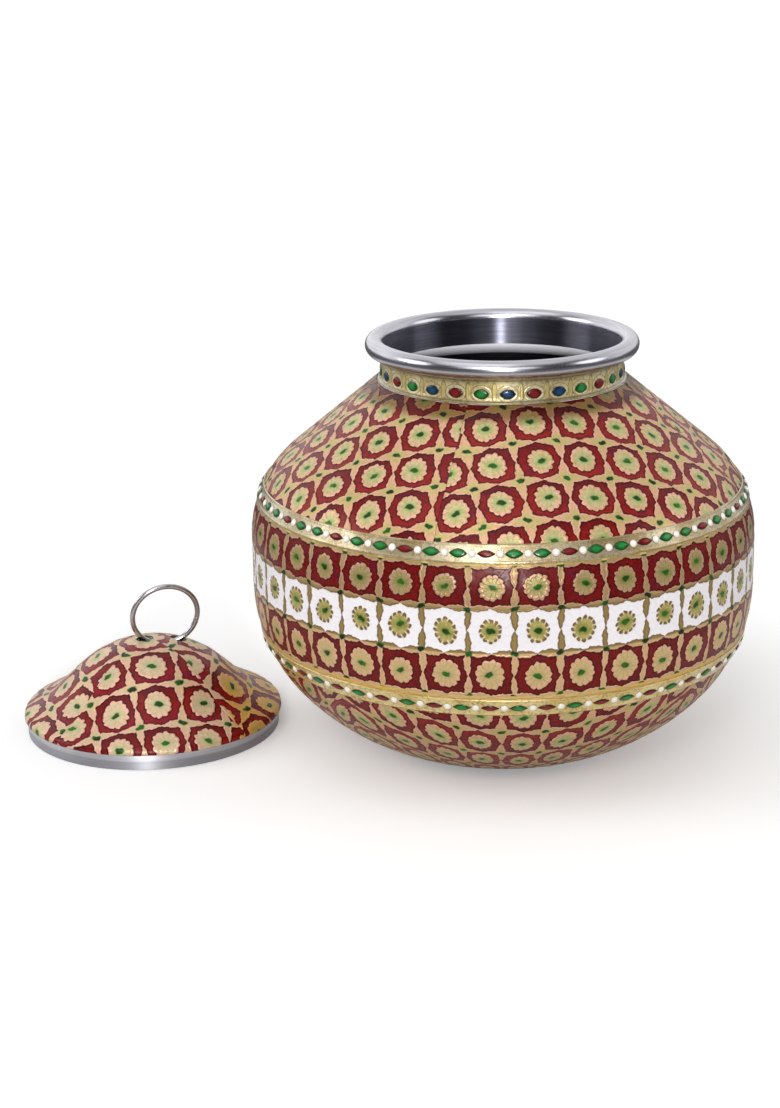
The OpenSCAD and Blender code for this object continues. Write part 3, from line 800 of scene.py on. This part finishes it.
# For each gore: how far it is flattened, its lean, and its shift in cells
LID_CELLS = {
    "front": (0.86, 10.3, 0.61, 0.39),
    "right": (0.74, 6, 0.32, 0.5),
    "back": (0.8, 8, 0.4, 0.2),
    "left": (0.8, 11, 0.58, 0.28),
}
for k, (side, (share, lean, u0, v0)) in enumerate(LID_CELLS.items()):

    def on_lid(run, total, phi, share=share, lean=lean, u0=u0, v0=v0, middle=4 + QUARTER * k):
        a, s = np.radians((phi - middle) * share), total - run + 1
        u, v = lattice(s * np.sin(a), s * np.cos(a), LID_CELL, lean)
        return u + u0, v + v0

    half = gap_deg(65) / 2
    start = LID_SEAM + QUARTER * k
    span = (start + half, start + QUARTER - half)
    foil = sheet_mesh("foil_lid_" + side, LID_LINE, FOIL_STEP, span, on_lid, FOIL, lid_depth, (LID_X, LID_Y))
    for cutter in cutters:
        cut = foil.modifiers.new(cutter.name, "BOOLEAN")
        cut.operation, cut.solver, cut.object = "DIFFERENCE", "EXACT", cutter
    bpy.context.view_layer.update()
    done = bpy.data.meshes.new_from_object(foil.evaluated_get(bpy.context.evaluated_depsgraph_get()))
    foil.modifiers.clear()
    foil.data = done
    dress(foil, [lid_foil], "lid", "red_foil", "lid_foil_" + side)
for c in cutters:
    bpy.data.objects.remove(c)

# The other steel pieces are the solids themselves
STEELS = {
    "lower_bowl": bowl_steel, "shoulder_shell": shoulder_steel, "lid_shell": lid_steel, "ring_handle": wire_steel,
}
for node, mat in STEELS.items():
    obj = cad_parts[node]
    obj.data.materials.clear()
    obj.data.materials.append(mat)

# Floor, light and camera
far = 40000  # millimetres from the middle to the floor's edges
floor = add_mesh("floor", [(-far, -far, 0), (far, -far, 0), (far, far, 0), (-far, far, 0)], [[0, 1, 2, 3]])
mat, tree, bsdf = material("floor_paper")
where, x, y, z = position(tree)
path = tree.nodes.new("ShaderNodeLightPath")
paper = mix(tree, noise(tree, where, 3.0), (0.93, 0.93, 0.935, 1), (0.95, 0.95, 0.95, 1))
mirrored = mix(tree, ramp(size_of(x, y), 0.35, 0.6), (0.8, 0.8, 0.81, 1), (0.12, 0.12, 0.13, 1))
seen = mix(tree, Field(tree, path.outputs["Is Camera Ray"]), (0.4, 0.33, 0.24, 1), paper)
tree.links.new(mix(tree, Field(tree, path.outputs["Is Glossy Ray"]), seen, mirrored), bsdf.inputs["Base Color"])
bsdf.inputs["Roughness"].default_value = 0.8
bsdf.inputs["Specular IOR Level"].default_value = 0.1
bsdf.inputs["Emission Color"].default_value = (1, 1, 1, 1)
put(bsdf.inputs["Emission Strength"], 0.2 * Field(tree, path.outputs["Is Camera Ray"]))
floor.data.materials.append(mat)
floor.location.z = -0.0002

world = bpy.data.worlds.new("studio")
bpy.context.scene.world = world
world.use_nodes = True
wt = world.node_tree
path = wt.nodes.new("ShaderNodeLightPath")
kinds = ("Camera", "Glossy", "Transmission")
camera, glossy, through = (Field(wt, path.outputs["Is %s Ray" % kind]) for kind in kinds)
way = wt.nodes.new("ShaderNodeSeparateXYZ")
wt.links.new(wt.nodes.new("ShaderNodeTexCoord").outputs["Generated"], way.inputs[0])
# What the metal mirrors: a light room, dark behind the viewer but for one broad soft light, brighter on the left
ahead_x, ahead_y, height = (Field(wt, way.outputs[k]) for k in range(3))
dark = ramp(height, 0.93, 0.72) * ramp(ahead_y, 0.4, 0.0)
panel = ramp(calc("ABSOLUTE", ahead_x + 0.06) + 0.65 * ahead_y, 0.12, -0.12)
panel = panel * ramp(height, 0.32, 0.46) * ramp(height, 0.76, 0.6)
side = ramp(ahead_y, -0.25, 0.25) * ramp(height, 0.8, 0.5) * (0.3 + 0.7 * ramp(ahead_x, 0.2, -0.4))
back = wt.nodes["Background"]
back.inputs["Color"].default_value = (1.0, 1.0, 1.0, 1)
room = 0.3 - 0.76 * dark + 1.8 * panel + 0.4 * side
put(back.inputs["Strength"], 0.52 + 0.48 * calc("MAXIMUM", camera, through) + glossy * room)


def sun(name, azimuth, elevation, strength, spread):
    """A soft lamp, its azimuth in degrees from the front towards +X."""
    light = bpy.data.lights.new(name, "SUN")
    light.energy, light.angle = strength, math.radians(spread)
    lamp = bpy.data.objects.new(name, light)
    bpy.context.scene.collection.objects.link(lamp)
    a, e = math.radians(azimuth), math.radians(elevation)
    away = Vector((math.sin(a) * math.cos(e), -math.cos(a) * math.cos(e), math.sin(e)))
    lamp.rotation_euler = away.to_track_quat("Z", "Y").to_euler()


sun("key", -10, 34, 0.45, 18)
sun("low", 1, 11, 1.3, 6)
sun("left", -84, 25, 0.6, 30)
sun("right", 84, 25, 0.4, 30)
sun("top", -40, 65, 0.4, 50)

# Camera fitted to the photograph, on a frame of 780 by 1108 pixels
FOCAL_PIXELS, FRAME_PIXELS, CAMERA_AT = 2298, 1108, (0, -1.104, 0.438)
cam = bpy.data.objects.new("camera", bpy.data.cameras.new("camera"))
bpy.context.scene.collection.objects.link(cam)
cam.data.sensor_width, cam.data.lens = 36, 36 * FOCAL_PIXELS / FRAME_PIXELS
yaw, pitch, roll = math.radians(-2.92), math.radians(17.24), math.radians(-0.907)
ahead = Vector((math.sin(yaw), math.cos(yaw), 0))
right = Vector((math.cos(yaw), -math.sin(yaw), 0))
depth_axis = ahead * math.cos(pitch) - Vector((0, 0, math.sin(pitch)))
up = ahead * math.sin(pitch) + Vector((0, 0, math.cos(pitch)))
image_x = right * math.cos(roll) + up * math.sin(roll)
image_y = up * math.cos(roll) - right * math.sin(roll)
cam_axes = Matrix((image_x, image_y, -depth_axis)).transposed().to_4x4()
cam.matrix_world = Matrix.Translation(CAMERA_AT) @ cam_axes
cam.data.clip_end = 200
bpy.context.scene.camera = cam
bpy.context.scene.view_settings.view_transform = "Standard"
